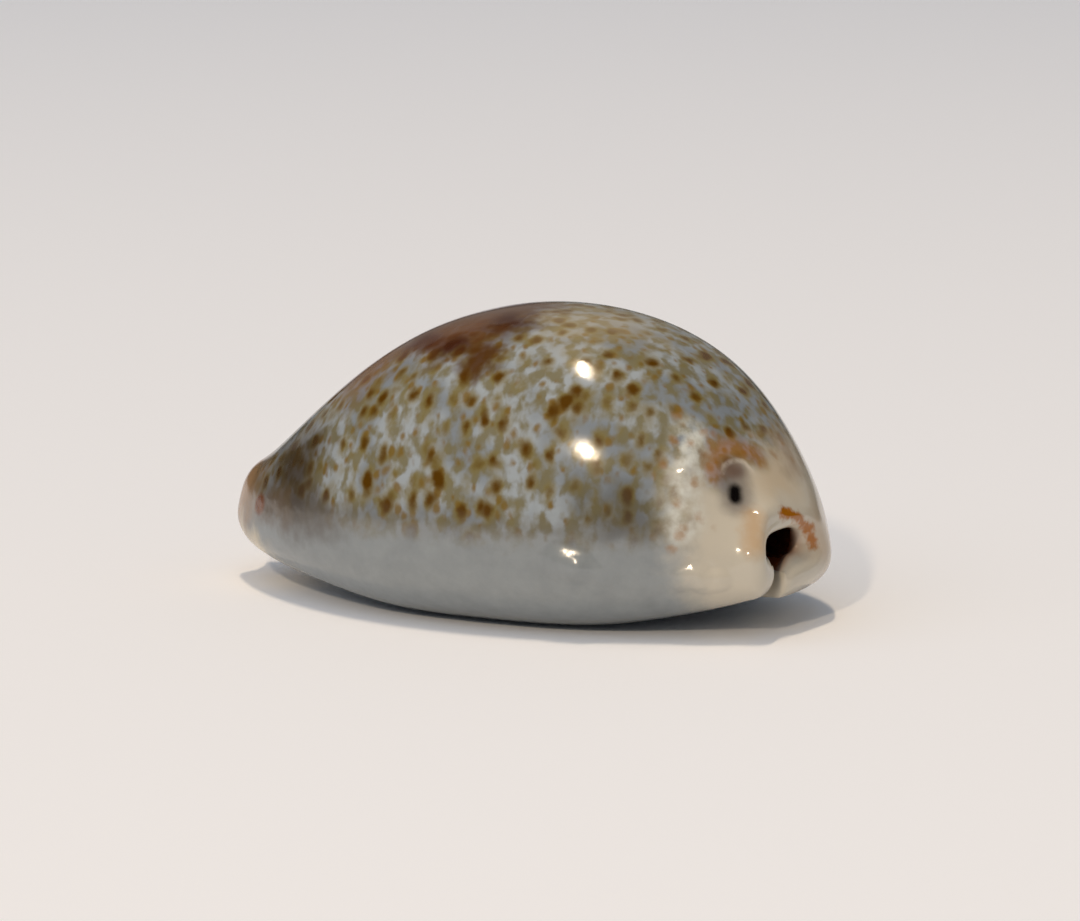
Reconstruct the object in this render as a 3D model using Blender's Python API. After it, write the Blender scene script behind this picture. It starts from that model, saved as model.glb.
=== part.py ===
"""A cowrie shell lying on its base, as one closed solid.

The shell is a single rolled sheet. Its two long edges are the lips, which face each other across a
narrow toothed aperture along the base, and its two short edges are the rims of the canals at the ends.
The sheet's control points are worked out from a few cross-sections along the shell, and a smooth
spline surface is drawn through them. Front of the animal is at -X, the back of the shell is up.
"""

import math

import bmesh
import bpy
import numpy as np
from mathutils import Vector

MM = 0.001

# Cross-sections along the shell, in millimetres. back is the height of the dome, ridge the sideways place
# of its highest line, left and right the widest points of the flanks, base the height of the lips, and
# lift how much higher the left lip stands. slit is the middle of the aperture, gap half its width, and
# lip how far a lip's crest stands off it.
OUTSIDE = (
    # x, back, ridge, left, right, base, lift, slit, gap, lip
    (-13.6, 4.95, 0.0, -1.8, 1.9, 2.05, 0.0, 0.3, 0.50, 0.75),
    (-13.0, 5.4, 0.0, -2.5, 2.7, 1.8, 0.0, 0.3, 0.55, 0.85),
    (-12.0, 5.95, 0.0, -3.5, 3.8, 1.5, 0.0, 0.35, 0.65, 1.05),
    (-9.8, 7.85, 0.0, -5.15, 5.55, 1.05, 0.0, 0.4, 0.75, 1.3),
    (-6.7, 10.5, 0.0, -6.7, 7.1, 0.55, 0.0, 0.4, 0.75, 1.5),
    (-3.4, 12.5, 0.0, -7.7, 8.1, 0.0, 0.0, 0.4, 0.65, 1.6),
    (-0.1, 13.25, 0.0, -8.0, 8.4, 0.0, 0.0, 0.3, 0.60, 1.6),
    (3.1, 13.2, 0.0, -7.9, 8.3, 0.0, 0.0, 0.2, 0.55, 1.6),
    (6.1, 12.55, 0.0, -7.3, 7.8, 0.1, 0.0, 0.0, 0.55, 1.5),
    (8.9, 11.1, 0.0, -6.3, 6.9, 0.7, 0.0, -0.5, 0.50, 1.4),
    (11.2, 8.5, 0.0, -5.2, 5.45, 1.15, 0.15, -1.3, 0.45, 1.2),
    (12.7, 6.5, -0.9, -4.6, 3.9, 1.5, 0.35, -2.2, 0.40, 0.9),
    (13.3, 5.75, -1.9, -4.5, 2.8, 1.55, 0.45, -2.6, 0.35, 0.7),
)

# The hollow at the same cross-sections. It narrows to a canal at either end. floor is the height of the
# lips' inner edges, and sill how far the hollow's floor rises from them to the flanks.
INSIDE = (
    # ceiling, left, right, floor, sill
    (4.0, -0.6, 1.2, 2.8, 0.2),
    (4.3, -0.8, 1.4, 2.8, 0.2),
    (5.0, -1.5, 2.1, 2.9, 0.1),
    (6.8, -3.6, 4.0, 3.0, 0.0),
    (9.5, -5.7, 5.9, 3.0, 0.0),
    (11.4, -6.6, 6.8, 2.9, 0.0),
    (12.2, -6.9, 7.1, 2.8, 0.0),
    (12.1, -6.8, 7.0, 2.8, 0.0),
    (11.2, -6.1, 6.3, 2.8, 0.0),
    (9.2, -4.8, 5.1, 2.9, 0.0),
    (6.8, -3.6, 2.2, 2.85, 0.15),
    (4.85, -3.6, -0.1, 2.75, 0.5),
    (4.5, -3.6, -0.55, 2.85, 0.7),
)

# How far a canal's rim is rounded out past the last cross-section, at some of the control points from
# the left lip's inner edge over the back to the right one's.
RIM_REACH = (
    # place from lip to lip, reach
    (0, 0.25),
    (3, 0.4),
    (5, 0.5),
    (6, 0.4),
    (7, 0.15),
    (8, 0.15),
    (10, 0.5),
    (13, 0.95),
    (14, 0.95),
    (18, 0.3),
)

# Outline of half a cross-section, as control points from the ridge down to the base: share of the half
# width, and share of the height.
DOME = ((0.0, 1.0), (0.46, 0.99), (0.86, 0.80), (1.03, 0.48), (1.09, 0.18), (0.80, 0.0))
# The lip goes on from there: share of the lip's width off the slit's wall, and share of its height.
LIP = ((1.0, 0.0), (0.10, 0.05), (0.0, 0.45), (0.25, 1.0))
# The same for the hollow, with a control point facing each one outside. Its lip goes from the flank's
# foot to the inner edge that both share: share of the way back, and share of the sill.
HOLLOW_DOME = ((0.0, 1.0), (0.46, 1.0), (0.88, 0.82), (1.06, 0.48), (1.0, 0.12), (0.85, 0.0))
HOLLOW_LIP = ((1.0, 1.0), (0.57, 0.6), (0.26, 0.3))
HOLLOW_LIP_WIDTH = 1.15  # in widths of the lip outside

TOOTH_HEIGHT = 0.34
TEETH_PER_SPAN = 2
TOOTHED_SPANS = (2, 10)
# A tooth's height from the slit's inner edge to just outside the lip's crest: control points from the
# edge, and share of the full height.
TOOTH_PROFILE = ((0.0, 0.0), (0.5, 0.7), (1.0, 1.0), (2.0, 0.8), (3.0, 0.0))

# How many facets each span between two control points gets: along the shell, round a canal's rim, and
# from the left lip's inner edge over the back to the right one's.
SAMPLES_ALONG = (2, 3, 8, 8, 8, 8, 8, 8, 8, 8, 4, 3)
SAMPLES_RIM = 3
SAMPLES_AROUND = (1, 1, 1, 2, 2, 2, 2, 2, 2, 2, 2, 2, 2, 2, 2, 1, 1, 1)

# Hollows on the outside of the blunt end: the dip between the flank and the canal's rim, and the small
# pit over the covered spire. Each is a place, a radius and a depth.
DENTS = (
    ((12.2, -4.0, 5.9), 1.6, 0.25),
    ((11.9, -3.6, 6.0), 0.5, 0.35),
)
PIT_REACH = 1.5  # facets nearer than this to the pit are made finer
PIT_CUTS = 2

FLAT_SPOT_DEPTH = 0.08  # how much the lips are worn flat where the shell rests
WELD_REACH = 0.001


def half_outline(section, hollow, side):
    """Control points (y, z) of one side of a cross-section, from the ridge to the lip's inner edge."""
    x, back, ridge, left, right, base, lift, slit, gap, lip = section
    ceiling, hollow_left, hollow_right, floor, sill = hollow
    if side < 0:
        base += lift
        floor += lift
    wide = abs((right if side > 0 else left) - ridge)
    hollow_middle, hollow_wide = (hollow_left + hollow_right) / 2, (hollow_right - hollow_left) / 2
    wall = slit + side * gap
    foot = floor + sill
    outer = [(ridge + side * wide * y, base + (back - base) * z) for y, z in DOME]
    outer += [(wall + side * lip * y, base + (floor - base) * z) for y, z in LIP]
    inner = [(hollow_middle + side * hollow_wide * y, foot + (ceiling - foot) * z) for y, z in HOLLOW_DOME]
    edge = outer[-1]
    hollow_lip = min(HOLLOW_LIP_WIDTH * lip, abs(inner[-1][0] - edge[0]))
    inner += [(edge[0] + side * hollow_lip * y, floor + sill * z) for y, z in HOLLOW_LIP]
    inner.append(edge)
    return outer, inner


def control_net():
    """Control points of the whole sheet as an array [along, around, xyz].

    Along runs from the front canal's rim, over the outside, round the back canal's rim and home
    through the hollow. Around runs from the left lip's inner edge, over the back, to the right one's.
    """
    outer_rows, inner_rows = [], []
    for section, hollow in zip(OUTSIDE, INSIDE):
        left_outer, left_inner = half_outline(section, hollow, -1)
        right_outer, right_inner = half_outline(section, hollow, 1)
        for rows, left, right in (
            (outer_rows, left_outer, right_outer),
            (inner_rows, left_inner, right_inner),
        ):
            rows.append([(section[0], y, z) for y, z in left[:0:-1] + right])
    outer, inner = np.array(outer_rows), np.array(inner_rows)
    reach = np.interp(np.arange(outer.shape[1]), *zip(*RIM_REACH))
    front_rim = (outer[0] + inner[0]) / 2
    back_rim = (outer[-1] + inner[-1]) / 2
    front_rim[:, 0] -= reach
    back_rim[:, 0] += reach
    return np.concatenate([[front_rim], outer, [back_rim], inner[::-1]])


def spline(points, places, closed):
    """Points of a uniform cubic B-spline along the first axis of points. places counts in control points."""
    if closed:
        ahead = np.roll(points, 1, axis=0)
        span = np.floor(places).astype(int)
    else:
        first, last = 2 * points[0] - points[1], 2 * points[-1] - points[-2]
        ahead = np.concatenate([[first], points, [last]])
        span = np.minimum(np.floor(places).astype(int), len(points) - 2)
    t = (places - span).reshape((-1,) + (1,) * (points.ndim - 1))
    weights = (
        (1 - t) ** 3 / 6,
        (3 * t**3 - 6 * t**2 + 4) / 6,
        (-3 * t**3 + 3 * t**2 + 3 * t + 1) / 6,
        t**3 / 6,
    )
    return sum(w * ahead[(span + k) % len(ahead)] for k, w in enumerate(weights))


def places_along():
    """Where the sheet is sampled along the shell, out over the outside and back through the hollow."""
    spans = len(OUTSIDE) - 1
    out = [span + 1 + k / n for span, n in enumerate(SAMPLES_ALONG) for k in range(n)]
    rim = [k / SAMPLES_RIM for k in range(2 * SAMPLES_RIM)]
    back_rim = [spans + 1 + r for r in rim]
    turned = [2 * spans + 4 - p for p in out[1:]][::-1]
    home = [spans + 3] + turned
    front_rim = [2 * spans + 3 + r for r in rim]
    return np.array(out + back_rim + home + front_rim)


def places_around():
    """Where the sheet is sampled from lip to lip."""
    places = [span + k / n for span, n in enumerate(SAMPLES_AROUND) for k in range(n)]
    return np.array(places + [len(SAMPLES_AROUND)])


def sheet(along, around):
    """Points and outward normals of the smooth sheet at every pair of places."""
    net = control_net()
    rows = spline(net, along, closed=True)
    points = spline(rows.transpose(1, 0, 2), around, closed=False).transpose(1, 0, 2)
    d_along = np.roll(points, -1, axis=0) - np.roll(points, 1, axis=0)
    d_around = np.gradient(points, axis=1)
    normals = np.cross(d_along, d_around)
    normals /= np.maximum(np.linalg.norm(normals, axis=2, keepdims=True), 1e-9)
    return points, normals


def tooth_share(along, around):
    """How much of a tooth's full height each point of the sheet has, from 0 to 1."""
    spans = len(OUTSIDE) - 1
    first, last = TOOTHED_SPANS
    # A place on the way home through the hollow faces the same tooth as its mirror place outside.
    outside = np.where(along <= spans + 1, along, 2 * spans + 4 - along) - 1
    ridge = 0.5 - 0.5 * np.cos(2 * math.pi * TEETH_PER_SPAN * (outside - first))
    ridge = np.where((outside >= first) & (outside <= last), ridge, 0.0)
    from_edge = np.minimum(around, around[-1] - around)
    height = np.outer(ridge, np.interp(from_edge, *zip(*TOOTH_PROFILE)))
    height[along > spans + 1] = 0.0
    return height


def shell_points(along, around):
    """The sheet with teeth raised on the lips and the base worn flat."""
    points, normals = sheet(along, around)
    points = points + normals * (TOOTH_HEIGHT * tooth_share(along, around))[..., None]
    table = points[..., 2].min() + FLAT_SPOT_DEPTH
    points[..., 2] = np.maximum(points[..., 2], table) - table
    return points


def sink_dents(shape, outside):
    """Sink the hollows of the blunt end into the outside. The facets round the pit are made finer first."""
    pit = Vector(DENTS[-1][0])
    near = [f for f in outside if (f.calc_center_median() - pit).length < PIT_REACH]
    edges = list({e for f in near for e in f.edges})
    bmesh.ops.subdivide_edges(shape, edges=edges, cuts=PIT_CUTS, use_grid_fill=True)
    shape.normal_update()
    moves = []
    for v in shape.verts:
        sunk = 0.0
        if v.normal.x > 0:
            for place, radius, depth in DENTS:
                away = (v.co - Vector(place)).length
                sunk += depth * math.exp(-((away / radius) ** 2))
        moves.append(v.co - v.normal * sunk)
    for v, place in zip(shape.verts, moves):
        v.co = place


def shell_mesh(name, along, around):
    """A closed mesh of the sheet. Its outside and its hollow share the lips' inner edges."""
    points = shell_points(along, around)
    mesh_rows, mesh_columns = points.shape[:2]
    shape = bmesh.new()
    rows = [[shape.verts.new(p) for p in row] for row in points]
    for i in range(mesh_rows):
        for j in range(mesh_columns - 1):
            ahead = rows[(i + 1) % mesh_rows]
            shape.faces.new((rows[i][j], ahead[j], ahead[j + 1], rows[i][j + 1]))
    edges = [row[j] for row in rows for j in (0, -1)]
    bmesh.ops.remove_doubles(shape, verts=edges, dist=WELD_REACH)
    bmesh.ops.recalc_face_normals(shape, faces=shape.faces)
    sink_dents(shape, [f for f in shape.faces if f.normal.x > 0])
    bmesh.ops.triangulate(shape, faces=shape.faces)
    low = [min(v.co[i] for v in shape.verts) for i in range(3)]
    high = [max(v.co[i] for v in shape.verts) for i in range(3)]
    middle = Vector(((low[0] + high[0]) / 2, (low[1] + high[1]) / 2, low[2]))
    bmesh.ops.translate(shape, verts=shape.verts, vec=-middle)
    bmesh.ops.scale(shape, verts=shape.verts, vec=(MM, MM, MM))
    mesh = bpy.data.meshes.new(name)
    shape.to_mesh(mesh)
    shape.free()
    mesh.shade_smooth()
    return mesh


def shell_material():
    """Polished shell: pale, hard and glossy."""
    material = bpy.data.materials.new("polished_shell")
    material.use_nodes = True
    surface = material.node_tree.nodes["Principled BSDF"]
    surface.inputs["Base Color"].default_value = (0.52, 0.46, 0.36, 1.0)
    surface.inputs["Roughness"].default_value = 0.18
    surface.inputs["Metallic"].default_value = 0.0
    return material


def main():
    for obj in list(bpy.data.objects):
        bpy.data.objects.remove(obj)
    mesh = shell_mesh("cowrie_shell", places_along(), places_around())
    mesh.materials.append(shell_material())
    shell = bpy.data.objects.new("cowrie_shell", mesh)
    bpy.context.scene.collection.objects.link(shell)


main()
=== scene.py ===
"""The looks of a small speckled cowrie shell that lies on its base.

The shell is one smooth sheet, rolled up so that its two lips face each other along a narrow toothed
aperture. Its enamel is a clear gloss over bluish white, with an olive haze and golden-brown spots on the
back, one dark blotch, grey margins, and a cream rear end with a rust-yellow stain over its canal.
"""

import math

import bpy
import numpy as np
from mathutils import Matrix, Quaternion, Vector


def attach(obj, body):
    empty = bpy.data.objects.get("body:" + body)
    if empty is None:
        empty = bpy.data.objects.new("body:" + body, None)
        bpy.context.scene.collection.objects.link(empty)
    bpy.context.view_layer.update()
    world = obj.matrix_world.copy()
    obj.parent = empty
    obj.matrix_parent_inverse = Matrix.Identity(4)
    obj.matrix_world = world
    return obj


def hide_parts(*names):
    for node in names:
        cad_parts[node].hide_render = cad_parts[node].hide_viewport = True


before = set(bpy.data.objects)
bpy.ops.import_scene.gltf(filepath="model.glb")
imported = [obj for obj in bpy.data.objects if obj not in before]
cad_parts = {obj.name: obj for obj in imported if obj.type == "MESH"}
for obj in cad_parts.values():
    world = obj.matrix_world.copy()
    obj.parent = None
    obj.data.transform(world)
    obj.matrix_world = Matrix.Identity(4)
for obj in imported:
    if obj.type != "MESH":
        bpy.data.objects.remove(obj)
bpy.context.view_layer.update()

MM = 0.001
NODE = "cowrie_shell"

# The shell's cross-sections in millimetres, as its solid has them. back is the height of the dome, ridge
# the sideways place of its highest line, left and right the widest points of the flanks, base the height
# of the lips, and lift how much higher the left lip stands. slit is the middle of the aperture, gap half
# its width, and lip how far a lip's crest stands off it.
OUTSIDE = (
    # x, back, ridge, left, right, base, lift, slit, gap, lip
    (-13.6, 4.95, 0.0, -1.8, 1.9, 2.05, 0.0, 0.3, 0.50, 0.75),
    (-13.0, 5.4, 0.0, -2.5, 2.7, 1.8, 0.0, 0.3, 0.55, 0.85),
    (-12.0, 5.95, 0.0, -3.5, 3.8, 1.5, 0.0, 0.35, 0.65, 1.05),
    (-9.8, 7.85, 0.0, -5.15, 5.55, 1.05, 0.0, 0.4, 0.75, 1.3),
    (-6.7, 10.5, 0.0, -6.7, 7.1, 0.55, 0.0, 0.4, 0.75, 1.5),
    (-3.4, 12.5, 0.0, -7.7, 8.1, 0.0, 0.0, 0.4, 0.65, 1.6),
    (-0.1, 13.25, 0.0, -8.0, 8.4, 0.0, 0.0, 0.3, 0.60, 1.6),
    (3.1, 13.2, 0.0, -7.9, 8.3, 0.0, 0.0, 0.2, 0.55, 1.6),
    (6.1, 12.55, 0.0, -7.3, 7.8, 0.1, 0.0, 0.0, 0.55, 1.5),
    (8.9, 11.1, 0.0, -6.3, 6.9, 0.7, 0.0, -0.5, 0.50, 1.4),
    (11.2, 8.5, 0.0, -5.2, 5.45, 1.15, 0.15, -1.3, 0.45, 1.2),
    (12.7, 6.5, -0.9, -4.6, 3.9, 1.5, 0.35, -2.2, 0.40, 0.9),
    (13.3, 5.75, -1.9, -4.5, 2.8, 1.55, 0.45, -2.6, 0.35, 0.7),
)

# The hollow at the same cross-sections. floor is the height of the lips' inner edges, and sill how far the
# hollow's floor rises from them to the flanks.
INSIDE = (
    # ceiling, left, right, floor, sill
    (4.0, -0.6, 1.2, 2.8, 0.2),
    (4.3, -0.8, 1.4, 2.8, 0.2),
    (5.0, -1.5, 2.1, 2.9, 0.1),
    (6.8, -3.6, 4.0, 3.0, 0.0),
    (9.5, -5.7, 5.9, 3.0, 0.0),
    (11.4, -6.6, 6.8, 2.9, 0.0),
    (12.2, -6.9, 7.1, 2.8, 0.0),
    (12.1, -6.8, 7.0, 2.8, 0.0),
    (11.2, -6.1, 6.3, 2.8, 0.0),
    (9.2, -4.8, 5.1, 2.9, 0.0),
    (6.8, -3.6, 2.2, 2.85, 0.15),
    (4.85, -3.6, -0.1, 2.75, 0.5),
    (4.5, -3.6, -0.55, 2.85, 0.7),
)

# How far each rim stands out, from the left lip's edge round to the right one's.
RIM_REACH = (
    # place from lip to lip, reach
    (0, 0.25),
    (3, 0.4),
    (5, 0.5),
    (6, 0.4),
    (7, 0.15),
    (8, 0.15),
    (10, 0.5),
    (13, 0.95),
    (14, 0.95),
    (18, 0.3),
)

# Half a cross-section from the ridge to the base, as shares of its half width and height, then the lip,
# as shares of the lip's width off the slit's wall and of its height. The hollow's points face them.
DOME = ((0.0, 1.0), (0.46, 0.99), (0.86, 0.80), (1.03, 0.48), (1.09, 0.18), (0.80, 0.0))
LIP = ((1.0, 0.0), (0.10, 0.05), (0.0, 0.45), (0.25, 1.0))
HOLLOW_DOME = ((0.0, 1.0), (0.46, 1.0), (0.88, 0.82), (1.06, 0.48), (1.0, 0.12), (0.85, 0.0))
HOLLOW_LIP = ((1.0, 1.0), (0.57, 0.6), (0.26, 0.3))
HOLLOW_LIP_WIDTH = 1.15

# The teeth: how high they stand, how many there are to a span between cross-sections, the first and last
# span that has them, and the share of its height that a tooth may lack.
TOOTH_HEIGHT = 0.34
TEETH_PER_SPAN = 2
TOOTHED_SPANS = (2, 10)
TOOTH_UNEVENNESS = 0.25
TOOTH_SEED = 4

# Low relief on the outside: a line of places, a radius, and a height that is negative where it dips.
RELIEF = (
    (((12.2, -4.0, 5.9),), 1.6, -0.25),
    (((11.9, -3.65, 5.85), (11.85, -3.6, 6.2)), 0.4, -0.2),
    (((10.4, -5.7, 5.0), (10.4, -5.4, 6.4), (10.5, -4.5, 8.3)), 0.6, 0.12),
    (((10.42, -4.65, 8.1),), 0.38, 0.3),
    (((10.4, -5.0, 7.5),), 0.38, 0.26),
    (((13.3, -3.5, 5.55), (13.45, -3.0, 5.8), (13.6, -2.3, 5.8)), 0.45, 0.2),
    (((13.15, -4.7, 3.95),), 0.5, 0.12),
)

# Healed breaks along the margin: low ledges whose upper side slopes evenly, each by the line of its crest,
# how far it slopes and how high it stands.
LEDGES = (
    (((5.8, -8.1, 3.3), (6.4, -7.97, 3.15)), 1.0, 0.43),
    (((6.7, -7.95, 3.1), (7.5, -7.6, 2.5)), 0.9, 0.36),
    (((10.6, -6.2, 2.6), (11.2, -5.9, 2.85)), 0.8, 0.45),
    (((11.5, -5.75, 2.3), (12.0, -5.5, 2.6)), 0.8, 0.42),
)

# The lowest part of each lip is worn flat, this deep.
FLAT_SPOT_DEPTH = 0.08

# Marks at the blunt end that follow the surface, each by the line it is drawn along. The pit's line carries
# painted shade.
MARKS = {
    "from_stain": (
        (13.5, -2.4, 5.35),
        (13.75, -1.6, 5.05),
        (13.8, -0.75, 4.7),
        (13.8, -0.1, 4.15),
        (13.85, 0.15, 3.6),
    ),
    "from_left_stain": ((13.0, -3.9, 5.3), (13.15, -4.3, 4.7), (13.3, -4.5, 4.2)),
    "from_coil": (
        (11.4, -3.8, 7.05),
        (11.45, -3.6, 7.4),
        (11.65, -3.0, 7.5),
        (11.9, -2.6, 7.4),
        (12.15, -2.45, 7.0),
    ),
    "from_arch": (
        (11.2, -4.0, 7.1),
        (11.1, -3.8, 7.7),
        (11.2, -3.2, 8.05),
        (11.5, -2.3, 7.9),
        (11.9, -1.6, 7.6),
    ),
    "from_halo": ((12.0, -3.75, 5.9), (11.95, -3.65, 6.5), (11.8, -3.4, 7.0)),
    # the line of the painted shade in the shallow spire pit
    "from_pit_shade": ((12.05, -3.8, 6.05), (11.98, -3.7, 6.35)),
    "from_shoulder": ((10.5, -5.75, 5.0), (10.4, -5.45, 6.4), (10.3, -4.8, 8.0), (10.2, -4.2, 8.7)),
}

# How many spans past each rim the hollow's own colour begins.
THROAT = 0.8

# How finely the sheet is drawn: facets in each span between control points.
FINE_ALONG = (8, 8) + (16,) * 8 + (14, 14)
FINE_RIM = 8
FINE_LIP = 8
FINE_DOME = 16

# The middle of the shell's height, which the lamps and the camera are aimed at.
SHELL_MIDDLE = (0, 0, 6.5)


# Shape


def half_outline(section, hollow, side):
    """Control points (y, z) of one side of a cross-section, from the ridge to the lip's inner edge."""
    x, back, ridge, left, right, base, lift, slit, gap, lip = section
    ceiling, hollow_left, hollow_right, floor, sill = hollow
    if side < 0:
        base += lift
        floor += lift
    wide = abs((right if side > 0 else left) - ridge)
    hollow_middle, hollow_wide = (hollow_left + hollow_right) / 2, (hollow_right - hollow_left) / 2
    wall = slit + side * gap
    foot = floor + sill
    outer = [(ridge + side * wide * y, base + (back - base) * z) for y, z in DOME]
    outer += [(wall + side * lip * y, base + (floor - base) * z) for y, z in LIP]
    inner = [(hollow_middle + side * hollow_wide * y, foot + (ceiling - foot) * z) for y, z in HOLLOW_DOME]
    edge = outer[-1]
    hollow_lip = min(HOLLOW_LIP_WIDTH * lip, abs(inner[-1][0] - edge[0]))
    inner += [(edge[0] + side * hollow_lip * y, floor + sill * z) for y, z in HOLLOW_LIP]
    inner.append(edge)
    return outer, inner


def control_net():
    """Control points of the whole sheet: along the shell and home through the hollow, by lip to lip."""
    outer_rows, inner_rows = [], []
    for section, hollow in zip(OUTSIDE, INSIDE):
        left_outer, left_inner = half_outline(section, hollow, -1)
        right_outer, right_inner = half_outline(section, hollow, 1)
        outer_rows.append([(section[0], y, z) for y, z in left_outer[:0:-1] + right_outer])
        inner_rows.append([(section[0], y, z) for y, z in left_inner[:0:-1] + right_inner])
    outer, inner = np.array(outer_rows), np.array(inner_rows)
    reach = np.interp(np.arange(outer.shape[1]), *zip(*RIM_REACH))
    front_rim = (outer[0] + inner[0]) / 2
    back_rim = (outer[-1] + inner[-1]) / 2
    front_rim[:, 0] -= reach
    back_rim[:, 0] += reach
    return np.concatenate([[front_rim], outer, [back_rim], inner[::-1]])


def spline(points, places, closed):
    """Points of a uniform cubic B-spline along the first axis of points. places counts in control points."""
    if closed:
        ahead = np.roll(points, 1, axis=0)
        span = np.floor(places).astype(int)
    else:
        first, last = 2 * points[0] - points[1], 2 * points[-1] - points[-2]
        ahead = np.concatenate([[first], points, [last]])
        span = np.minimum(np.floor(places).astype(int), len(points) - 2)
    t = (places - span).reshape((-1,) + (1,) * (points.ndim - 1))
    weights = (
        (1 - t) ** 3 / 6,
        (3 * t**3 - 6 * t**2 + 4) / 6,
        (-3 * t**3 + 3 * t**2 + 3 * t + 1) / 6,
        t**3 / 6,
    )
    return sum(w * ahead[(span + k) % len(ahead)] for k, w in enumerate(weights))


def places_along():
    """Where the sheet is sampled along the shell, out over the outside and back through the hollow."""
    spans = len(OUTSIDE) - 1
    out = [span + 1 + k / n for span, n in enumerate(FINE_ALONG) for k in range(n)]
    rim = [k / FINE_RIM for k in range(2 * FINE_RIM)]
    turned = [2 * spans + 4 - p for p in out[1:]][::-1]
    back_rim = [spans + 1 + r for r in rim]
    front_rim = [2 * spans + 3 + r for r in rim]
    return np.array(out + back_rim + [spans + 3] + turned + front_rim)


def places_around():
    """Where the sheet is sampled from lip to lip."""
    steps = [FINE_LIP] * len(LIP) + [FINE_DOME] * (2 * len(DOME) - 2) + [FINE_LIP] * len(LIP)
    return np.array([span + k / n for span, n in enumerate(steps) for k in range(n)] + [len(steps)])


def outward(points):
    """Unit normals of the sheet, pointing out of the shell's wall."""
    d_along = np.roll(points, -1, axis=0) - np.roll(points, 1, axis=0)
    d_around = np.gradient(points, axis=1)
    normals = np.cross(d_along, d_around)
    return normals / np.maximum(np.linalg.norm(normals, axis=2, keepdims=True), 1e-9)


def distance_to_line(points, line):
    """How far each point lies from the nearest place on a line of straight steps."""
    away = np.linalg.norm(points - line[0], axis=-1)
    for start, end in zip(line, line[1:]):
        step = end - start
        share = np.clip((points - start) @ step / (step @ step), 0, 1)
        away = np.minimum(away, np.linalg.norm(points - start - share[..., None] * step, axis=-1))
    return away


def smooth_sheet(along, around):
    """The sheet without its teeth, with the base worn flat and the low relief raised and sunk.

    Its marks come with it: how far each point lies from each of them.
    """
    rows = spline(control_net(), along, closed=True)
    points = spline(rows.transpose(1, 0, 2), around, closed=False).transpose(1, 0, 2)
    table = points[..., 2].min() + FLAT_SPOT_DEPTH
    points[..., 2] = np.maximum(points[..., 2], table) - table
    normals = outward(points)
    risen = np.zeros(points.shape[:2])
    for line, radius, height in RELIEF:
        away = distance_to_line(points, np.array(line))
        risen += height * np.exp(-((away / radius) ** 2))
    for line, width, height in LEDGES:
        away = distance_to_line(points, np.array(line))
        risen += height * np.clip(1 - away / width, 0, 1)
    risen[(along > len(OUTSIDE) + 1) & (along < 2 * len(OUTSIDE) + 1)] = 0.0
    points = points + normals * risen[..., None]
    low, high = points.min(axis=(0, 1)), points.max(axis=(0, 1))
    points[..., :2] -= ((low + high) / 2)[:2]
    marks = {name: distance_to_line(points, np.array(line)) for name, line in MARKS.items()}
    return points, marks


def sheet_mesh(name):
    """The smooth sheet as a closed mesh.

    Each point keeps its place on the sheet: along in spans from the front, from_lip in spans from the
    nearer lip's inner edge, and hollow, which is 0 outside and 1 within.
    """
    along, around = places_along(), places_around()
    points, marks = smooth_sheet(along, around)
    rows, columns = points.shape[:2]
    # The outside and the hollow share the points of the lips' inner edges.
    turn = rows - 2 * FINE_RIM
    twin = (turn - np.arange(rows)) % rows
    index = np.arange(rows * columns).reshape(rows, columns)
    index[:, 0] = np.minimum(index[:, 0], index[twin, 0])
    index[:, -1] = np.minimum(index[:, -1], index[twin, -1])
    ahead = np.roll(index, -1, axis=0)
    faces = np.stack([index[:, :-1], ahead[:, :-1], ahead[:, 1:], index[:, 1:]], axis=-1).reshape(-1, 4)
    kept, faces = np.unique(faces, return_inverse=True)
    faces = faces.reshape(-1, 4)
    spans = len(OUTSIDE) - 1
    outside = np.where(along <= spans + 2, along, 2 * spans + 4 - along) - 1
    past_rear_rim = along - (spans + 2 + THROAT)
    before_front_rim = (2 * spans + 4 - THROAT) - along
    hollow = np.clip(past_rear_rim, 0, 1) * np.clip(before_front_rim, 0, 1)
    from_lip = np.minimum(around, around[-1] - around)
    values = {
        "along": np.broadcast_to(outside[:, None], (rows, columns)),
        "from_lip": np.broadcast_to(from_lip[None, :], (rows, columns)),
        "hollow": np.broadcast_to(hollow[:, None], (rows, columns)),
        **marks,
    }
    mesh = bpy.data.meshes.new(name)
    mesh.from_pydata(points.reshape(-1, 3)[kept] * MM, [], faces)
    for key, value in values.items():
        layer = mesh.attributes.new(key, "FLOAT", "POINT")
        layer.data.foreach_set("value", np.ascontiguousarray(value.reshape(-1)[kept], dtype=np.float32))
    mesh.shade_smooth()
    return mesh


# Adding nodes


def add(tree, kind, inputs=None, **settings):
    """Adds a node. inputs gives its sockets, by name or number, a value or another node's output."""
    new = tree.nodes.new(kind)
    for name, value in settings.items():
        setattr(new, name, value)
    for socket, value in (inputs or {}).items():
        if isinstance(value, bpy.types.NodeSocket):
            tree.links.new(value, new.inputs[socket])
        else:
            new.inputs[socket].default_value = value
    return new


def linear(code, alpha=1.0):
    """An sRGB hex colour as linear red, green, blue and alpha."""
    values = [int(code[i : i + 2], 16) / 255 for i in (1, 3, 5)]
    return tuple(v / 12.92 if v <= 0.04045 else ((v + 0.055) / 1.055) ** 2.4 for v in values) + (alpha,)


# Teeth


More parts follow.
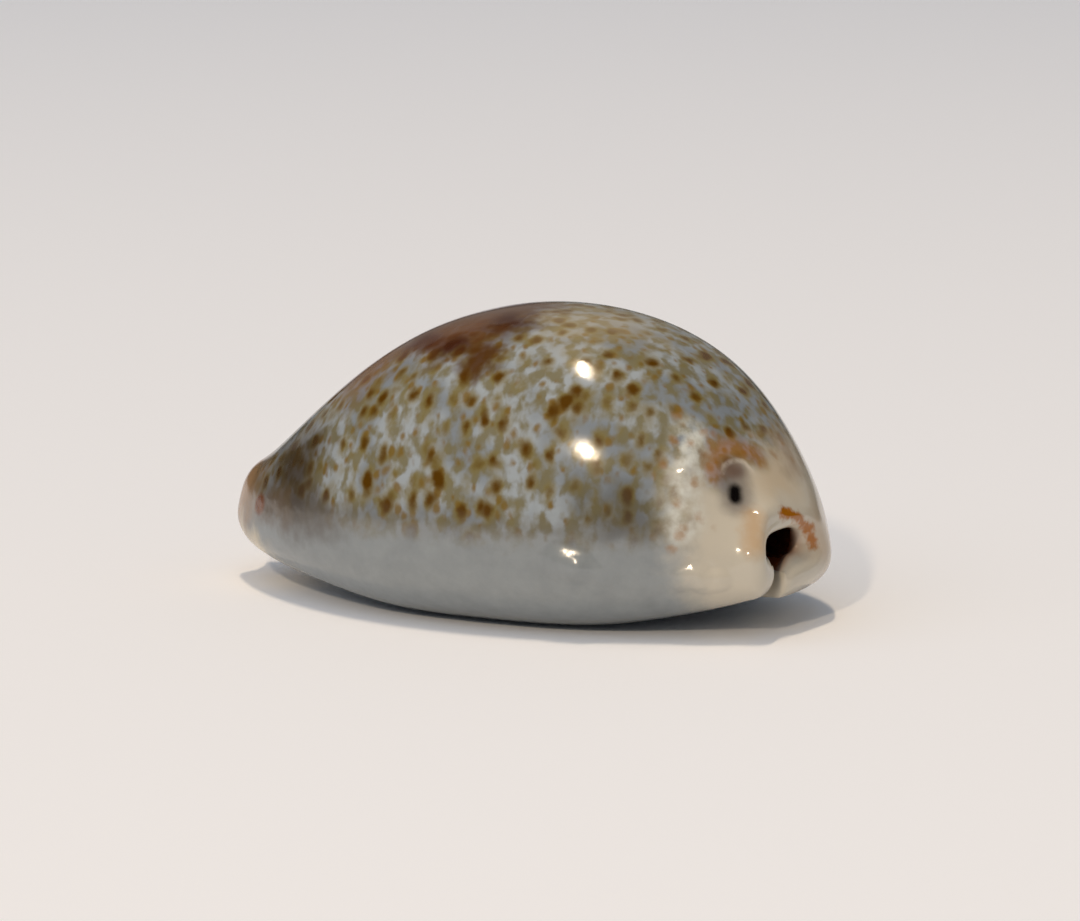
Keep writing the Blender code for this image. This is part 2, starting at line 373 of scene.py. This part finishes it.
def toothed_lips_tree(enamel):
    """Raises a row of low ridges across each lip, a little uneven in height as grown ones are."""
    tree = bpy.data.node_groups.new("toothed_lips", "GeometryNodeTree")
    tree.is_modifier = True
    face = tree.interface
    face.new_socket("Geometry", in_out="INPUT", socket_type="NodeSocketGeometry")
    for name, default in (
        ("Tooth height", TOOTH_HEIGHT * MM),
        ("Teeth per span", float(TEETH_PER_SPAN)),
        ("First toothed span", float(TOOTHED_SPANS[0])),
        ("Last toothed span", float(TOOTHED_SPANS[1])),
        ("Unevenness", TOOTH_UNEVENNESS),
    ):
        face.new_socket(name, in_out="INPUT", socket_type="NodeSocketFloat").default_value = default
    face.new_socket("Seed", in_out="INPUT", socket_type="NodeSocketInt").default_value = TOOTH_SEED
    face.new_socket("Geometry", in_out="OUTPUT", socket_type="NodeSocketGeometry")

    given = add(tree, "NodeGroupInput").outputs
    along = add(tree, "GeometryNodeInputNamedAttribute", {"Name": "along"}).outputs[0]
    from_lip = add(tree, "GeometryNodeInputNamedAttribute", {"Name": "from_lip"}).outputs[0]
    hollow = add(tree, "GeometryNodeInputNamedAttribute", {"Name": "hollow"}).outputs[0]

    # A cosine wave along the lip, from gap to gap between teeth.
    first, last, per_span = given["First toothed span"], given["Last toothed span"], given["Teeth per span"]
    from_first = add(tree, "ShaderNodeMath", {0: along, 1: first}, operation="SUBTRACT")
    count = add(tree, "ShaderNodeMath", {0: from_first.outputs[0], 1: per_span}, operation="MULTIPLY")
    angle = add(tree, "ShaderNodeMath", {0: count.outputs[0], 1: 2 * math.pi}, operation="MULTIPLY")
    wave = add(tree, "ShaderNodeMath", {0: angle.outputs[0]}, operation="COSINE")
    ridge = add(tree, "ShaderNodeMath", {0: wave.outputs[0], 1: -0.5, 2: 0.5}, operation="MULTIPLY_ADD")
    after = add(tree, "ShaderNodeMath", {0: along, 1: first}, operation="GREATER_THAN")
    before = add(tree, "ShaderNodeMath", {0: along, 1: last}, operation="LESS_THAN")
    row = add(tree, "ShaderNodeMath", {0: after.outputs[0], 1: before.outputs[0]}, operation="MULTIPLY")

    # A tooth climbs from the lip's inner edge and dies away over the lip's crest.
    climb = add(tree, "ShaderNodeMapRange", {"Value": from_lip}, interpolation_type="SMOOTHSTEP")
    fade = add(
        tree,
        "ShaderNodeMapRange",
        {"Value": from_lip, "From Min": 1.4, "From Max": 3.0, "To Min": 1.0, "To Max": 0.0},
        interpolation_type="SMOOTHSTEP",
    )
    across = add(tree, "ShaderNodeMath", {0: climb.outputs[0], 1: fade.outputs[0]}, operation="MULTIPLY")
    tooth = add(tree, "ShaderNodeMath", {0: ridge.outputs[0], 1: across.outputs[0]}, operation="MULTIPLY")
    kept = add(tree, "ShaderNodeMath", {0: tooth.outputs[0], 1: row.outputs[0]}, operation="MULTIPLY")
    outside = add(tree, "ShaderNodeMath", {0: 1.0, 1: hollow}, operation="SUBTRACT", use_clamp=True)
    shown = add(tree, "ShaderNodeMath", {0: kept.outputs[0], 1: outside.outputs[0]}, operation="MULTIPLY")

    # Each tooth has its own height.
    number = add(tree, "ShaderNodeMath", {0: count.outputs[0]}, operation="FLOOR")
    chance = add(
        tree,
        "FunctionNodeRandomValue",
        {2: 0.0, 3: 1.0, "ID": number.outputs[0], "Seed": given["Seed"]},
        data_type="FLOAT",
    )
    lower = add(tree, "ShaderNodeMath", {0: chance.outputs[1], 1: given["Unevenness"]}, operation="MULTIPLY")
    full = add(tree, "ShaderNodeMath", {0: 1.0, 1: lower.outputs[0]}, operation="SUBTRACT")
    height = add(tree, "ShaderNodeMath", {0: shown.outputs[0], 1: full.outputs[0]}, operation="MULTIPLY")
    rise = add(tree, "ShaderNodeMath", {0: height.outputs[0], 1: given["Tooth height"]}, operation="MULTIPLY")
    normal = add(tree, "GeometryNodeInputNormal")
    push = add(
        tree,
        "ShaderNodeVectorMath",
        {0: normal.outputs[0], "Scale": rise.outputs[0]},
        operation="SCALE",
    )
    raised = add(tree, "GeometryNodeSetPosition", {"Geometry": given["Geometry"], "Offset": push.outputs[0]})

    # The teeth are worn to the same level as the flat spots of the lips.
    spot = add(tree, "GeometryNodeInputPosition").outputs[0]
    x, y, z = add(tree, "ShaderNodeSeparateXYZ", {0: spot}).outputs
    level = add(tree, "ShaderNodeMath", {0: z, 1: 0.0}, operation="MAXIMUM").outputs[0]
    worn_spot = add(tree, "ShaderNodeCombineXYZ", {0: x, 1: y, 2: level}).outputs[0]
    worn = add(tree, "GeometryNodeSetPosition", {"Geometry": raised.outputs[0], "Position": worn_spot})
    real = add(tree, "GeometryNodeRealizeInstances", {"Geometry": worn.outputs[0]})
    coated = add(tree, "GeometryNodeSetMaterial", {"Geometry": real.outputs[0], "Material": enamel})
    add(tree, "NodeGroupOutput", {"Geometry": coated.outputs[0]})
    return tree


def toothed_shell(enamel):
    """The sheet with its teeth raised, as a plain mesh at the origin."""
    blank = bpy.data.objects.new("shell_sheet", sheet_mesh("shell_sheet"))
    bpy.context.scene.collection.objects.link(blank)
    tree = toothed_lips_tree(enamel)
    teeth = blank.modifiers.new("toothed_lips", "NODES")
    teeth.node_group = tree
    sockets = {item.name: item.identifier for item in tree.interface.items_tree if item.in_out == "INPUT"}
    teeth[sockets["Tooth height"]] = TOOTH_HEIGHT * MM
    teeth[sockets["Seed"]] = TOOTH_SEED
    seen = blank.evaluated_get(bpy.context.evaluated_depsgraph_get())
    mesh = bpy.data.meshes.new_from_object(seen)
    mesh.name = "speckled_shell"
    blank.modifiers.remove(teeth)
    bpy.data.objects.remove(blank)
    shell = bpy.data.objects.new("speckled_shell", mesh)
    bpy.context.scene.collection.objects.link(shell)
    return shell


# Enamel

ARAGONITE_INDEX = 1.54  # aragonite's is 1.53 to 1.68, by the direction in the crystal
COAT_ROUGHNESS = 0.12
MARGIN_ROUGHNESS = 0.2
WAVE_DEPTH = 0.06

# The line where the coat ends on a flank: its height at the shell's middle, and its rise towards the rear.
COAT_END = 4.15
COAT_END_RISE = 0.02

# The line where the cream rear end begins: its place along the shell at the ground, and its lean.
REAR_START = 11.3
REAR_LEAN = -0.14

# Spots of the coat, the faintest first: how many to a millimetre, how far from its middle a spot is full
# and where it has faded, both in spots, then its colour and strength.
SPOTS = (
    (1.2, 0.16, 0.64, "#85763e", 0.85),
    (1.8, 0.06, 0.40, "#7c6228", 0.85),
    (1.2, 0.06, 0.43, "#593a08", 1.0),
)
SPOT_SHAPE = (1.0, 0.85, 0.7)  # they are taller than they are long
SPOT_SMOOTHNESS = 0.35  # touching spots run together
SPOT_RANDOMNESS = 0.8
SPOT_SWELL = 0.7  # how much a spot's outline swells and shrinks, in spots

# Patches of the back: a middle, radii, the share of them that the edge takes, colour and strength. They are
# a paler, warmer top that is painted light, painted shade on the lower part of each flank behind, and the
# blotch's reddish haze, body and dark cores.
BLOTCH_AND_PAINTED_LIGHT_AND_SHADE = (
    # painted light: a paler, warmer top
    ((4.0, -1.5, 12.6), (5.2, 4.6, 2.2), 0.9, "#c9b58c", 0.4),
    # painted shade on the lower part of each flank behind, on both sides
    ((7.6, -6.4, 5.7), (3.6, 2.6, 2.2), 0.9, "#4f4a3e", 0.6),
    ((7.6, 6.8, 5.7), (3.6, 2.6, 2.2), 0.9, "#4f4a3e", 0.6),
    ((-5.6, -2.6, 10.2), (4.2, 4.4, 3.0), 0.8, "#7f5432", 0.85),
    ((-1.3, -1.7, 11.9), (4.7, 4.9, 4.0), 0.5, "#6c4830", 0.92),
    ((-1.5, 0.4, 12.8), (1.6, 1.7, 1.6), 0.9, "#4a2414", 0.8),
    ((-3.6, -1.6, 12.0), (1.5, 1.6, 1.6), 0.9, "#4e2817", 0.8),
    ((1.0, -3.0, 12.8), (1.6, 2.3, 1.6), 0.9, "#472616", 0.95),
    ((0.8, -5.5, 11.4), (1.4, 1.9, 1.9), 0.7, "#54330e", 0.95),
    ((-0.9, -4.9, 11.7), (1.5, 1.6, 1.4), 0.9, "#43200f", 0.95),
    ((-2.8, -4.0, 11.6), (1.8, 1.7, 1.6), 0.9, "#4a2414", 0.8),
)

# Patches of the tapered end, on both sides: a brown-grey zone under the coat's lower edge, a darker one over
# it, a paler one between them and the tip, then the tip itself, brown, tan and cream towards the base.
ENDS = (
    ((-7.0, -6.9, 4.3), (4.0, 3.0, 1.7), 0.9, "#5e574f", 0.85),
    ((-7.0, 7.3, 4.3), (4.0, 3.0, 1.7), 0.9, "#5e574f", 0.85),
    ((-8.4, -5.2, 5.9), (4.2, 3.4, 3.2), 0.9, "#403222", 0.9),
    ((-8.4, 5.6, 5.9), (4.2, 3.4, 3.2), 0.9, "#403222", 0.9),
    ((-9.9, -5.3, 4.1), (3.0, 2.2, 1.5), 0.9, "#665849", 0.9),
    ((-9.9, 5.7, 4.1), (3.0, 2.2, 1.5), 0.9, "#665849", 0.9),
    ((-13.2, 0.0, 4.7), (5.2, 6.8, 5.0), 0.6, "#6b5a44", 0.85),
    ((-14.6, 0.0, 4.4), (4.5, 7.4, 4.4), 0.5, "#a2805c", 1.0),
    ((-12.8, -2.2, 1.4), (4.4, 5.4, 1.9), 0.7, "#d8c8a8", 1.0),
    ((-12.8, 2.4, 1.8), (4.4, 5.4, 2.1), 0.7, "#d8c8a8", 1.0),
)

# A small rust-brown spot beside the tip.
RUST_SPOT = ((-10.95, -4.4, 3.9), (0.75, 0.75, 0.6), 0.5, "#6e3c12", 1.0)

# The cream end is tanned above the canal, browner towards the back and where the far side turns away.
TANNED = (
    ((12.7, -1.2, 6.8), (2.6, 3.2, 1.8), 0.9, "#c9a878", 0.35),
    ((12.3, 1.2, 7.6), (2.2, 2.0, 2.4), 0.9, "#7a5a30", 0.6),
    ((13.6, 1.2, 3.6), (1.8, 2.4, 2.6), 0.9, "#b08e68", 0.5),
)

# The brown shade that sets the coil off from the end.
COIL_SHADE = ((11.8, -3.3, 7.1), (0.7, 0.8, 0.5), 0.9, "#7d5024", 0.8)

# Marks of the blunt end: the line that each follows, how far it reaches from it and over what distance it
# fades, in millimetres, how raggedly it ends, its colour and its strength. The pit's near-black dot is
# painted shade, standing in for the depth of the spire's hole.
END_MARKS = (
    ("from_arch", 0.0, 1.0, 0.5, "#a5682a", 0.55),
    ("from_coil", 0.0, 0.2, 0.2, "#dccfbc", 0.8),
    ("from_halo", 0.3, 0.85, 0.2, "#5c5452", 0.65),
    # painted shade: a near-black dot in the shallow spire pit
    ("from_pit_shade", 0.12, 0.36, 0.1, "#0f0c0c", 1.0),
    ("from_stain", 0.05, 0.4, 0.9, "#a3620c", 1.0),
    ("from_left_stain", 0.0, 0.9, 0.5, "#b9822c", 0.45),
)


def faded(tree, value, start, end, strength=1.0):
    """A soft step down from strength at start to nothing at end."""
    return add(
        tree,
        "ShaderNodeMapRange",
        {0: value, 1: start, 2: end, 3: strength, 4: 0.0},
        interpolation_type="SMOOTHSTEP",
    ).outputs[0]


def coated(tree, colour, pigment, share):
    """One colour over another, where share is 1. Either is a node's output or an sRGB hex colour."""
    under, over = (linear(c) if isinstance(c, str) else c for c in (colour, pigment))
    return add(tree, "ShaderNodeMix", {0: share, 6: under, 7: over}, data_type="RGBA").outputs[2]


def painted(tree, colour, patches, place):
    """Lays soft patches of pigment over a colour, each round its middle in millimetres."""
    for middle, radii, fade, code, strength in patches:
        offset = add(tree, "ShaderNodeVectorMath", {0: place, 1: middle}, operation="SUBTRACT").outputs[0]
        share = add(tree, "ShaderNodeVectorMath", {0: offset, 1: radii}, operation="DIVIDE").outputs[0]
        away = add(tree, "ShaderNodeVectorMath", {0: share}, operation="LENGTH").outputs["Value"]
        colour = coated(tree, colour, code, faded(tree, away, 1 - fade, 1.0, strength))
    return colour


def wandering(tree, place, scale, reach):
    """The place moved about by up to half of reach, in millimetres, so that pigment ends unevenly."""
    noise = add(
        tree,
        "ShaderNodeTexNoise",
        {"Vector": place, "Scale": scale, "Detail": 3.0, "Roughness": 0.55},
    ).outputs["Color"]
    shift = add(tree, "ShaderNodeVectorMath", {0: noise, 1: (0.5, 0.5, 0.5)}, operation="SUBTRACT").outputs[0]
    return add(
        tree,
        "ShaderNodeVectorMath",
        {0: shift, 1: (reach, reach, reach), 2: place},
        operation="MULTIPLY_ADD",
    ).outputs[0]


def spotted_coat(tree, place):
    """Pigment of the back: bluish white islands in an olive haze, and small golden-brown spots."""
    cloud = add(tree, "ShaderNodeTexNoise", {"Vector": place, "Scale": 0.35, "Detail": 2.0}).outputs["Fac"]
    colour = coated(tree, "#a4abaf", "#858c92", faded(tree, cloud, 0.62, 0.4))

    near = wandering(tree, place, 1.5, 0.35)
    tall = add(tree, "ShaderNodeMapping", {"Vector": near, "Scale": SPOT_SHAPE}).outputs[0]
    haze = add(
        tree, "ShaderNodeTexNoise", {"Vector": tall, "Scale": 1.9, "Detail": 2.0, "Roughness": 0.4}
    ).outputs["Fac"]
    colour = coated(tree, colour, "#786e48", faded(tree, haze, 0.66, 0.38, 0.85))

    # A spot's outline swells and shrinks with a noise, so that neighbours differ and some run together.
    uneven = add(tree, "ShaderNodeTexNoise", {"Vector": tall, "Scale": 1.1, "Detail": 1.0}).outputs["Fac"]
    for per_mm, full, end, code, strength in SPOTS:
        spot = add(
            tree,
            "ShaderNodeTexVoronoi",
            {"Vector": tall, "Scale": per_mm, "Smoothness": SPOT_SMOOTHNESS, "Randomness": SPOT_RANDOMNESS},
            feature="SMOOTH_F1",
        ).outputs["Distance"]
        swollen = add(tree, "ShaderNodeMath", {0: uneven, 1: SPOT_SWELL, 2: spot}, operation="MULTIPLY_ADD")
        away = add(tree, "ShaderNodeMath", {0: swollen.outputs[0], 1: SPOT_SWELL / 2}, operation="SUBTRACT")
        colour = coated(tree, colour, code, faded(tree, away.outputs[0], full, end, strength))
    return colour


def enamel_material():
    """Cowrie enamel: aragonite laid down by the animal's mantle and never worn.

    It keeps a glassy polish, so small lamps gleam on it as sharp points and its pigment looks wet, lying
    under the gloss. Places are in millimetres on the shell.
    """
    material = bpy.data.materials.new("cowrie_enamel")
    material.use_nodes = True
    tree = material.node_tree
    surface = tree.nodes["Principled BSDF"]
    surface.inputs["IOR"].default_value = ARAGONITE_INDEX

    coords = add(tree, "ShaderNodeTexCoord")
    in_mm = (1 / MM,) * 3
    place = add(tree, "ShaderNodeMapping", {"Vector": coords.outputs["Object"], "Scale": in_mm}).outputs[0]
    x, _, z = add(tree, "ShaderNodeSeparateXYZ", {0: place}).outputs
    ragged = wandering(tree, place, 0.6, 2.6)
    frayed = wandering(tree, place, 1.4, 1.2)
    frayed_x, _, frayed_z = add(tree, "ShaderNodeSeparateXYZ", {0: frayed}).outputs

    # The back's patches lay the dark blotch, painted light on the top and painted shade low on each flank
    # behind.
    coat = painted(tree, spotted_coat(tree, place), BLOTCH_AND_PAINTED_LIGHT_AND_SHADE, ragged)

    # Margins and base: grey callus, faintly mottled.
    mottle = add(
        tree, "ShaderNodeTexNoise", {"Vector": place, "Scale": 0.9, "Detail": 4.0, "Roughness": 0.6}
    ).outputs["Fac"]
    margin = coated(tree, "#808485", "#9a9f9f", mottle)

    # The coat comes down each flank to a line that rises very slightly towards the rear.
    line = add(
        tree, "ShaderNodeMath", {0: x, 1: COAT_END_RISE, 2: COAT_END}, operation="MULTIPLY_ADD"
    ).outputs[0]
    above = add(tree, "ShaderNodeMath", {0: frayed_z, 1: line}, operation="SUBTRACT").outputs[0]
    covered = faded(tree, above, 0.8, -0.5)
    colour = coated(tree, margin, coat, covered)
    # Its lowest millimetre is veiled by the callus that creeps up over it.
    veil = faded(tree, above, 0.0, 1.5, 0.55)
    veiled = add(tree, "ShaderNodeMath", {0: veil, 1: covered}, operation="MULTIPLY").outputs[0]
    colour = coated(tree, colour, "#665e52", veiled)

    colour = painted(tree, colour, ENDS, ragged)
    colour = painted(tree, colour, (RUST_SPOT,), place)

    # The blunt end is cream callus up to the spire. The line where it begins leans forward with height.
    rear_line = add(
        tree, "ShaderNodeMath", {0: z, 1: REAR_LEAN, 2: REAR_START}, operation="MULTIPLY_ADD"
    ).outputs[0]
    past = add(tree, "ShaderNodeMath", {0: frayed_x, 1: rear_line}, operation="SUBTRACT").outputs[0]
    behind = faded(tree, past, 1.0, -1.4)
    below_spire = faded(tree, frayed_z, 6.9, 8.7)
    callus = add(tree, "ShaderNodeMath", {0: behind, 1: below_spire}, operation="MULTIPLY").outputs[0]
    # The coat's brown shows through in an arch over the coil.
    from_arch = add(tree, "ShaderNodeAttribute", attribute_name="from_arch").outputs["Fac"]
    closed = faded(tree, from_arch, 1.2, 0.3)
    rear = add(tree, "ShaderNodeMath", {0: callus, 1: closed}, operation="MULTIPLY").outputs[0]
    colour = coated(tree, colour, "#c9c0ae", rear)
    colour = painted(tree, colour, TANNED, ragged)

    # Whitish patches stand along the shoulder, where the callus ends.
    shoulder = add(tree, "ShaderNodeAttribute", attribute_name="from_shoulder").outputs["Fac"]
    fine = add(tree, "ShaderNodeTexNoise", {"Vector": place, "Scale": 1.3, "Detail": 3.0}).outputs["Fac"]
    patchy = faded(tree, fine, 0.74, 0.30, 0.95)
    ridge = add(tree, "ShaderNodeMath", {0: faded(tree, shoulder, 0.2, 1.3), 1: patchy}, operation="MULTIPLY")
    colour = coated(tree, colour, "#dcdcd2", ridge.outputs[0])

    # Fine orange-brown freckles lie along the shoulder and run down from the coat towards the spire.
    near = wandering(tree, place, 2.0, 0.5)
    freckle = add(tree, "ShaderNodeTexVoronoi", {"Vector": near, "Scale": 1.25}).outputs["Distance"]
    by_shoulder = faded(tree, shoulder, 0.9, 1.6, 0.6)
    above_spire = faded(tree, frayed_z, 8.0, 6.6)
    where = add(tree, "ShaderNodeMath", {0: above_spire, 1: rear}, operation="MULTIPLY").outputs[0]
    where = add(tree, "ShaderNodeMath", {0: where, 1: by_shoulder}, operation="MAXIMUM").outputs[0]
    round_each = faded(tree, freckle, 0.08, 0.45, 0.9)
    freckled = add(tree, "ShaderNodeMath", {0: round_each, 1: where}, operation="MULTIPLY").outputs[0]
    colour = coated(tree, colour, "#99661c", freckled)

    # Marks that follow the surface, with slightly uneven edges, and painted shade in the spire pit.
    colour = painted(tree, colour, (COIL_SHADE,), place)
    grain = add(tree, "ShaderNodeTexNoise", {"Vector": place, "Scale": 2.6, "Detail": 2.0}).outputs["Fac"]
    fray = add(tree, "ShaderNodeMath", {0: grain, 1: 0.5}, operation="SUBTRACT").outputs[0]
    for mark, reach, fade, rag, code, strength in END_MARKS:
        away = add(tree, "ShaderNodeAttribute", attribute_name=mark).outputs["Fac"]
        away = add(tree, "ShaderNodeMath", {0: fray, 1: rag, 2: away}, operation="MULTIPLY_ADD").outputs[0]
        colour = coated(tree, colour, code, faded(tree, away, reach, reach + fade, strength))

    # The hollow is dark chestnut, as the rear canal's throat shows.
    hollow = add(tree, "ShaderNodeAttribute", attribute_name="hollow").outputs["Fac"]
    colour = coated(tree, colour, "#8c4a24", hollow)
    tree.links.new(colour, surface.inputs["Base Color"])

    # The polish is duller on the margins' callus, whose surface is also less even than the coat's.
    polished = add(tree, "ShaderNodeMath", {0: covered, 1: rear}, operation="MAXIMUM").outputs[0]
    gloss = add(tree, "ShaderNodeMapRange", {0: polished, 3: MARGIN_ROUGHNESS, 4: COAT_ROUGHNESS}).outputs[0]
    tree.links.new(gloss, surface.inputs["Roughness"])
    bare = add(tree, "ShaderNodeMapRange", {0: covered, 3: 0.8, 4: 0.15}).outputs[0]
    ripple = add(tree, "ShaderNodeTexNoise", {"Vector": place, "Scale": 0.9, "Detail": 2.0}).outputs["Fac"]
    relief = add(
        tree, "ShaderNodeBump", {"Height": ripple, "Strength": bare, "Distance": WAVE_DEPTH * MM}
    ).outputs[0]
    tree.links.new(relief, surface.inputs["Normal"])
    return material


# Setting


def soft_lamp(name, direction, distance, size, radiance, colour, turned=0.0):
    """An oval lamp that points at the shell, turned about its own axis by an angle in degrees.

    radiance is what a mirror would show of it.
    """
    lamp = bpy.data.lights.new(name, "AREA")
    lamp.shape = "ELLIPSE"
    lamp.size, lamp.size_y = size
    lamp.energy = radiance * math.pi * (math.pi * size[0] * size[1] / 4)
    lamp.color = linear(colour)[:3]
    holder = bpy.data.objects.new(name, lamp)
    bpy.context.scene.collection.objects.link(holder)
    away = Vector(direction).normalized()
    holder.location = Vector(SHELL_MIDDLE) * MM + away * distance
    turn = Quaternion((0, 0, 1), math.radians(turned))
    holder.rotation_euler = (away.to_track_quat("Z", "Y") @ turn).to_euler()
    return holder


def studio():
    """A pale floor, a dim room, a wide soft lamp, a pale card behind and two small lamps that gleam."""
    scene = bpy.context.scene
    scene.view_settings.view_transform = "Standard"
    world = bpy.data.worlds.new("soft_room")
    world.use_nodes = True
    world.node_tree.nodes["Background"].inputs["Color"].default_value = linear("#dbe6f4")
    world.node_tree.nodes["Background"].inputs["Strength"].default_value = 0.31
    # The room and the wide lamp are kept out of the gloss, as a polarising filter would keep them.
    world.cycles_visibility.glossy = False
    scene.world = world

    # Matt white paper: it shows no reflections, only the shell's soft shadow, and lights the base from below.
    paper = bpy.data.materials.new("matt_paper")
    paper.use_nodes = True
    sheet = paper.node_tree.nodes["Principled BSDF"]
    sheet.inputs["Base Color"].default_value = linear("#fbfbfd")
    sheet.inputs["Roughness"].default_value = 0.85
    half = 2.0
    corners = [(-half, -half, 0), (half, -half, 0), (half, half, 0), (-half, half, 0)]
    mesh = bpy.data.meshes.new("floor")
    mesh.from_pydata(corners, [], [(0, 1, 2, 3)])
    mesh.materials.append(paper)
    floor = bpy.data.objects.new("floor", mesh)
    scene.collection.objects.link(floor)

    wide = soft_lamp("wide_soft_lamp", (-0.2, -0.45, 0.87), 1.0, (1.8, 1.8), 0.5, "#e4eeff")
    wide.visible_glossy = False
    soft_lamp("overhead_lamp", (-0.02, -0.05, 0.99), 0.6, (0.15, 0.025), 137.0, "#ffe8c8", -49.0)
    soft_lamp("pale_card", (-0.44, 0.83, 0.34), 0.6, (1.1, 0.36), 0.2, "#f4ece4")
    soft_lamp("front_lamp", (0.155, -0.837, 0.505), 0.6, (0.021, 0.05), 370.0, "#ffe8c8")


def photo_camera():
    """The camera at the photo's viewing angle, from a quarter of a metre with a long lens."""
    azimuth, elevation = math.radians(28), math.radians(10)
    distance_mm = 250
    pixels_per_mm = 22.85
    image_width, image_height = 1080, 921
    middle_at = (526, 451)  # where the middle of the shell's height lies in the photo
    level = math.cos(elevation)
    towards = Vector((math.sin(azimuth) * level, -math.cos(azimuth) * level, math.sin(elevation)))
    right = Vector((math.cos(azimuth), math.sin(azimuth), 0))
    up = towards.cross(right)
    aim = Vector(SHELL_MIDDLE)
    aim += right * (image_width / 2 - middle_at[0]) / pixels_per_mm
    aim -= up * (image_height / 2 - middle_at[1]) / pixels_per_mm
    lens = bpy.data.cameras.new("photo_camera")
    lens.sensor_width = 36
    lens.lens = lens.sensor_width * pixels_per_mm * distance_mm / image_width
    lens.clip_start = 0.01
    camera = bpy.data.objects.new("photo_camera", lens)
    bpy.context.scene.collection.objects.link(camera)
    turned = Matrix((right, up, towards)).transposed().to_4x4()
    camera.matrix_world = Matrix.Translation((aim + towards * distance_mm) * MM) @ turned
    bpy.context.scene.camera = camera


def main():
    photo_camera()
    studio()
    shell = toothed_shell(enamel_material())
    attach(shell, "root")
    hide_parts(NODE)


main()
bpy.context.view_layer.update()
